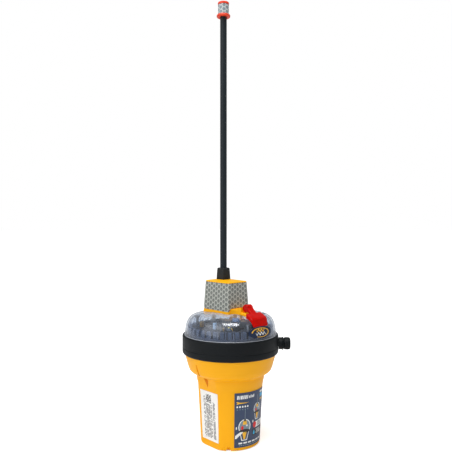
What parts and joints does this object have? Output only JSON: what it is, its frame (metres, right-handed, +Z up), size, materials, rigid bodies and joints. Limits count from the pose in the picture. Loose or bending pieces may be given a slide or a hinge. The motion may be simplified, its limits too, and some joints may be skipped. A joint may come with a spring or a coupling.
{
  "type": "emergency position beacon",
  "caption": "Floating emergency position beacon: yellow tapered body with black collar, clear strobe dome, antenna tower with hinged red cover, and flexible whip.",
  "frame": {"origin": "centre of the flat base, on the collar's axis", "axes": "+Z up along the whip, front (red cover, badge and front label) towards -Y, tether stud between front and +X"},
  "size_m": [0.118, 0.118, 0.5434],
  "materials": {
    "housing_yellow": "satin moulded",
    "collar_black": "matte",
    "boot_black": "matte",
    "whip_black": "satin",
    "clear_lens": "clear polished",
    "cover_red": "translucent gloss",
    "tip_orange": "satin",
    "reflective": "retro-reflective prismatic",
    "label_navy": "printed film",
    "label_white": "printed film",
    "seal_black": "matte",
    "deck_grey": "moulded",
    "ring_blue_grey": "tinted moulded",
    "board_green": "solder mask",
    "steel": "plain",
    "brass": "plated",
    "dark_plastic": "moulded",
    "ceramic": "matte",
    "cell_wrap": "film-wrapped cell, dense core",
    "lead_red": "insulated wire",
    "led_amber": "clear epoxy",
    "button_grey": "matte",
    "pale_blue": "translucent"
  },
  "bodies": {
    "beacon": {"antenna_base": "whip_black", "antenna_board": "board_green", "antenna_boot": "boot_black", "antenna_tower": "housing_yellow", "battery_cell_1": "cell_wrap", "battery_cell_2": "cell_wrap", "battery_cell_3": "cell_wrap", "battery_cell_4": "cell_wrap", "battery_contact_plate": "board_green", "battery_lead_negative": "dark_plastic", "battery_lead_positive": "lead_red", "battery_tray": "dark_plastic", "buzzer": "dark_plastic", "collar_ring": "collar_black", "dome_lens": "clear_lens", "dome_screw_1": "dark_plastic", "dome_screw_2": "dark_plastic", "dome_screw_3": "dark_plastic", "dome_screw_4": "dark_plastic", "dome_seal": "seal_black", "front_badge": "label_navy", "front_label": "label_navy", "gnss_antenna": "ceramic", "hinge_pin": "steel", "homing_coil": "brass", "light_ring": "ring_blue_grey", "lower_housing": "housing_yellow", "main_circuit_board": "board_green", "on_switch": "dark_plastic", "oscillator_can": "steel", "radio_shield": "steel", "side_label": "label_white", "status_light": "pale_blue", "strobe_led_1": "led_amber", "strobe_led_2": "led_amber", "strobe_led_3": "led_amber", "strobe_led_4": "led_amber", "test_button_bezel": "pale_blue", "test_switch": "dark_plastic", "tether_stud": "collar_black", "tower_reflective_sheet": "reflective", "upper_chassis": "deck_grey", "water_contact_left": "steel", "water_contact_right": "steel"},
    "cover": {"red_cover": "cover_red"},
    "on_button": {"on_button": "button_grey"},
    "test_button": {"test_button": "button_grey"},
    "whip_1": {"whip_link_1": "whip_black"},
    "whip_2": {"whip_link_2": "whip_black"},
    "whip_3": {"whip_link_3": "whip_black"},
    "whip_4": {"whip_link_4": "whip_black"},
    "whip_5": {"whip_link_5": "whip_black"},
    "whip_6": {"whip_link_6": "whip_black"},
    "whip_7": {"whip_link_7": "whip_black"},
    "whip_8": {"whip_link_8": "whip_black", "tip_cap": "tip_orange", "tip_reflective_band": "reflective"}
  },
  "joints": [
    {"name": "whip_flex_1", "type": "hinge", "parent": "beacon", "child": "whip_1", "pos_m": [0, 0.0128, 0.216], "axis": [-1, 0, 0], "range_deg": [-22.5, 22.5], "stiffness_Nm_per_rad": 1},
    {"name": "whip_flex_2", "type": "hinge", "parent": "whip_1", "child": "whip_2", "pos_m": [0, 0.0128, 0.25455], "axis": [-1, 0, 0], "range_deg": [-22.5, 22.5], "stiffness_Nm_per_rad": 1},
    {"name": "whip_flex_3", "type": "hinge", "parent": "whip_2", "child": "whip_3", "pos_m": [0, 0.0128, 0.2931], "axis": [-1, 0, 0], "range_deg": [-22.5, 22.5], "stiffness_Nm_per_rad": 1},
    {"name": "whip_flex_4", "type": "hinge", "parent": "whip_3", "child": "whip_4", "pos_m": [0, 0.0128, 0.33165], "axis": [-1, 0, 0], "range_deg": [-22.5, 22.5], "stiffness_Nm_per_rad": 1},
    {"name": "whip_flex_5", "type": "hinge", "parent": "whip_4", "child": "whip_5", "pos_m": [0, 0.0128, 0.3702], "axis": [-1, 0, 0], "range_deg": [-22.5, 22.5], "stiffness_Nm_per_rad": 1},
    {"name": "whip_flex_6", "type": "hinge", "parent": "whip_5", "child": "whip_6", "pos_m": [0, 0.0128, 0.40875], "axis": [-1, 0, 0], "range_deg": [-22.5, 22.5], "stiffness_Nm_per_rad": 1},
    {"name": "whip_flex_7", "type": "hinge", "parent": "whip_6", "child": "whip_7", "pos_m": [0, 0.0128, 0.4473], "axis": [-1, 0, 0], "range_deg": [-22.5, 22.5], "stiffness_Nm_per_rad": 1},
    {"name": "whip_flex_8", "type": "hinge", "parent": "whip_7", "child": "whip_8", "pos_m": [0, 0.0128, 0.48585], "axis": [-1, 0, 0], "range_deg": [-22.5, 22.5], "stiffness_Nm_per_rad": 1},
    {"name": "cover_hinge", "type": "hinge", "parent": "beacon", "child": "cover", "pos_m": [0, -0.031, 0.1657], "axis": [-1, 0, 0], "range_deg": [0, 110]},
    {"name": "on_press", "type": "slide", "parent": "beacon", "child": "on_button", "axis": [0, 0.4629, -0.8864], "range_m": [0, 0.0012], "stiffness_N_per_m": 800},
    {"name": "test_press", "type": "slide", "parent": "beacon", "child": "test_button", "axis": [0, 0, -1], "range_m": [0, 0.001], "stiffness_N_per_m": 800}
  ],
  "couplings": [
    {"joint": "whip_flex_2", "follows": "whip_flex_1", "ratio": 1},
    {"joint": "whip_flex_3", "follows": "whip_flex_1", "ratio": 1},
    {"joint": "whip_flex_4", "follows": "whip_flex_1", "ratio": 1},
    {"joint": "whip_flex_5", "follows": "whip_flex_1", "ratio": 1},
    {"joint": "whip_flex_6", "follows": "whip_flex_1", "ratio": 1},
    {"joint": "whip_flex_7", "follows": "whip_flex_1", "ratio": 1},
    {"joint": "whip_flex_8", "follows": "whip_flex_1", "ratio": 1}
  ]
}
